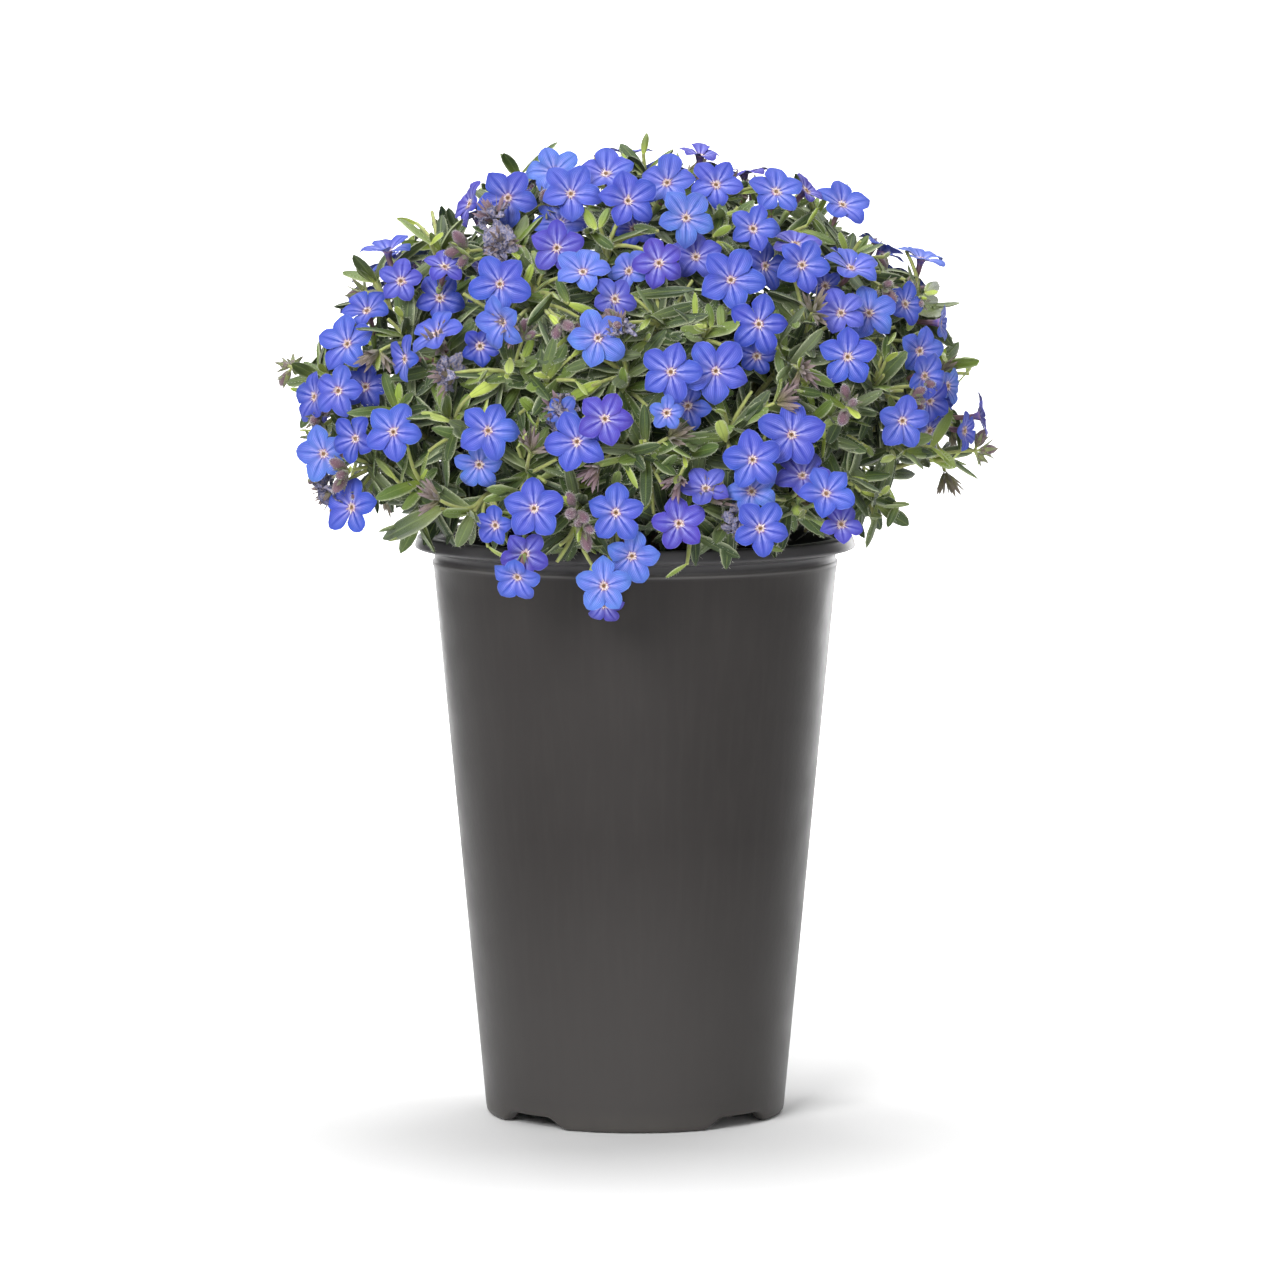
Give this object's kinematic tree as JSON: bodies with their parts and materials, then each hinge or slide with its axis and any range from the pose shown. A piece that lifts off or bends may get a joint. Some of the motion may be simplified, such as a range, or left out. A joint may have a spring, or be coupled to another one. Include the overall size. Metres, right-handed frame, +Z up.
{
  "type": "potted lithodora",
  "caption": "Domed lithodora in a tall tapered nursery pot: leafy sprays carry trusses of small blue flowers out over the rim, above soil.",
  "frame": {"origin": "on the ground, under the middle of the pot and of the whole plant", "axes": "+Z up; the side of the pot that the picture shows faces -Y, and +X is to its right"},
  "size_m": [0.2387, 0.2115, 0.3355],
  "materials": {
    "pot_plastic": "satin",
    "soil": "rough and crumbly",
    "petals": "soft matte",
    "leaves": "hairy matte"
  },
  "bodies": {
    "root": {"pot": "pot_plastic", "soil": "soil", "flower_truss_01": "petals", "flower_truss_02": "petals", "flower_truss_03": "petals", "flower_truss_04": "petals", "flower_truss_05": "petals", "flower_truss_06": "petals", "flower_truss_07": "petals", "flower_truss_08": "petals", "flower_truss_09": "petals", "flower_truss_10": "petals", "flower_truss_11": "petals", "flower_truss_12": "petals", "flower_truss_13": "petals", "flower_truss_14": "petals", "flower_truss_15": "petals", "flower_truss_16": "petals", "flower_truss_17": "petals", "flower_truss_18": "petals", "flower_truss_19": "petals", "flower_truss_20": "petals", "flower_truss_21": "petals", "flower_truss_22": "petals", "flower_truss_23": "petals", "flower_truss_24": "petals", "flower_truss_25": "petals", "flower_truss_26": "petals", "flower_truss_27": "petals", "flower_truss_28": "petals", "flower_truss_29": "petals", "flower_truss_30": "petals", "flower_truss_31": "petals", "flower_truss_32": "petals", "flower_truss_33": "petals", "flower_truss_34": "petals", "flower_truss_35": "petals", "flower_truss_36": "petals", "leafy_spray_01": "leaves", "leafy_spray_02": "leaves", "leafy_spray_03": "leaves", "leafy_spray_04": "leaves", "leafy_spray_05": "leaves", "leafy_spray_06": "leaves", "leafy_spray_07": "leaves", "leafy_spray_08": "leaves", "leafy_spray_09": "leaves", "leafy_spray_10": "leaves", "leafy_spray_11": "leaves", "leafy_spray_12": "leaves", "leafy_spray_13": "leaves", "leafy_spray_14": "leaves", "leafy_spray_15": "leaves", "leafy_spray_16": "leaves", "leafy_spray_17": "leaves", "leafy_spray_18": "leaves", "leafy_spray_19": "leaves", "leafy_spray_20": "leaves", "leafy_spray_21": "leaves"}
  },
  "joints": []
}
